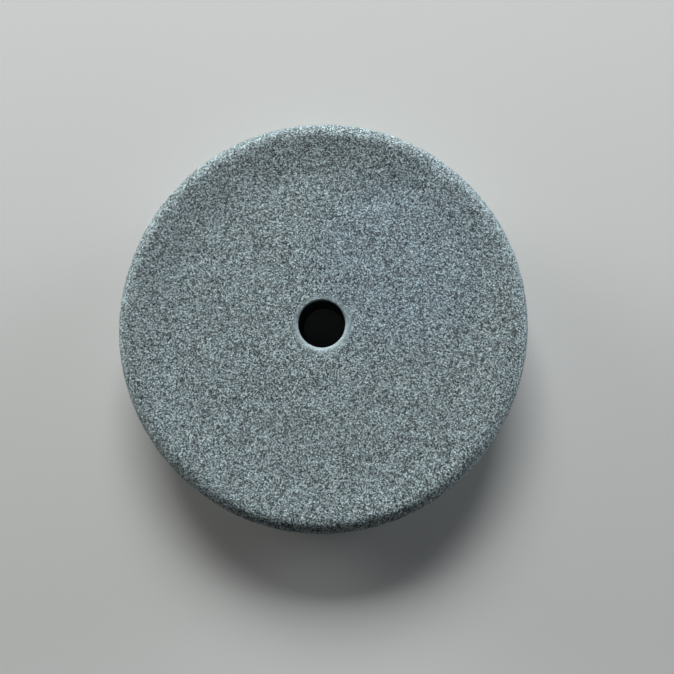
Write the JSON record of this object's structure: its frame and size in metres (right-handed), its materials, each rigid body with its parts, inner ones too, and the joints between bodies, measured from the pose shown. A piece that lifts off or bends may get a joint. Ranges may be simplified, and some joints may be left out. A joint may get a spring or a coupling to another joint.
{
  "type": "foam polishing pad",
  "caption": "Round grey foam polishing pad with a rounded working edge, a side that draws in to a loop-fabric backing, and a centring hole.",
  "frame": {"origin": "centre of the underside of the loop backing, which the pad rests on", "axes": "+Z is the pad's axis and points out of the working face; the pad is round, so +X and +Y are any two directions across it"},
  "size_m": [0.15, 0.15, 0.025],
  "materials": {
    "foam": "matt open-cell polyurethane foam",
    "film": "satin melted adhesive film",
    "loop_fabric": "matt warp-knitted polyamide with brushed loops"
  },
  "bodies": {
    "root": {"foam_body": "foam", "adhesive_film": "film", "backing_knit": "loop_fabric", "loop_pile": "loop_fabric"}
  },
  "joints": []
}
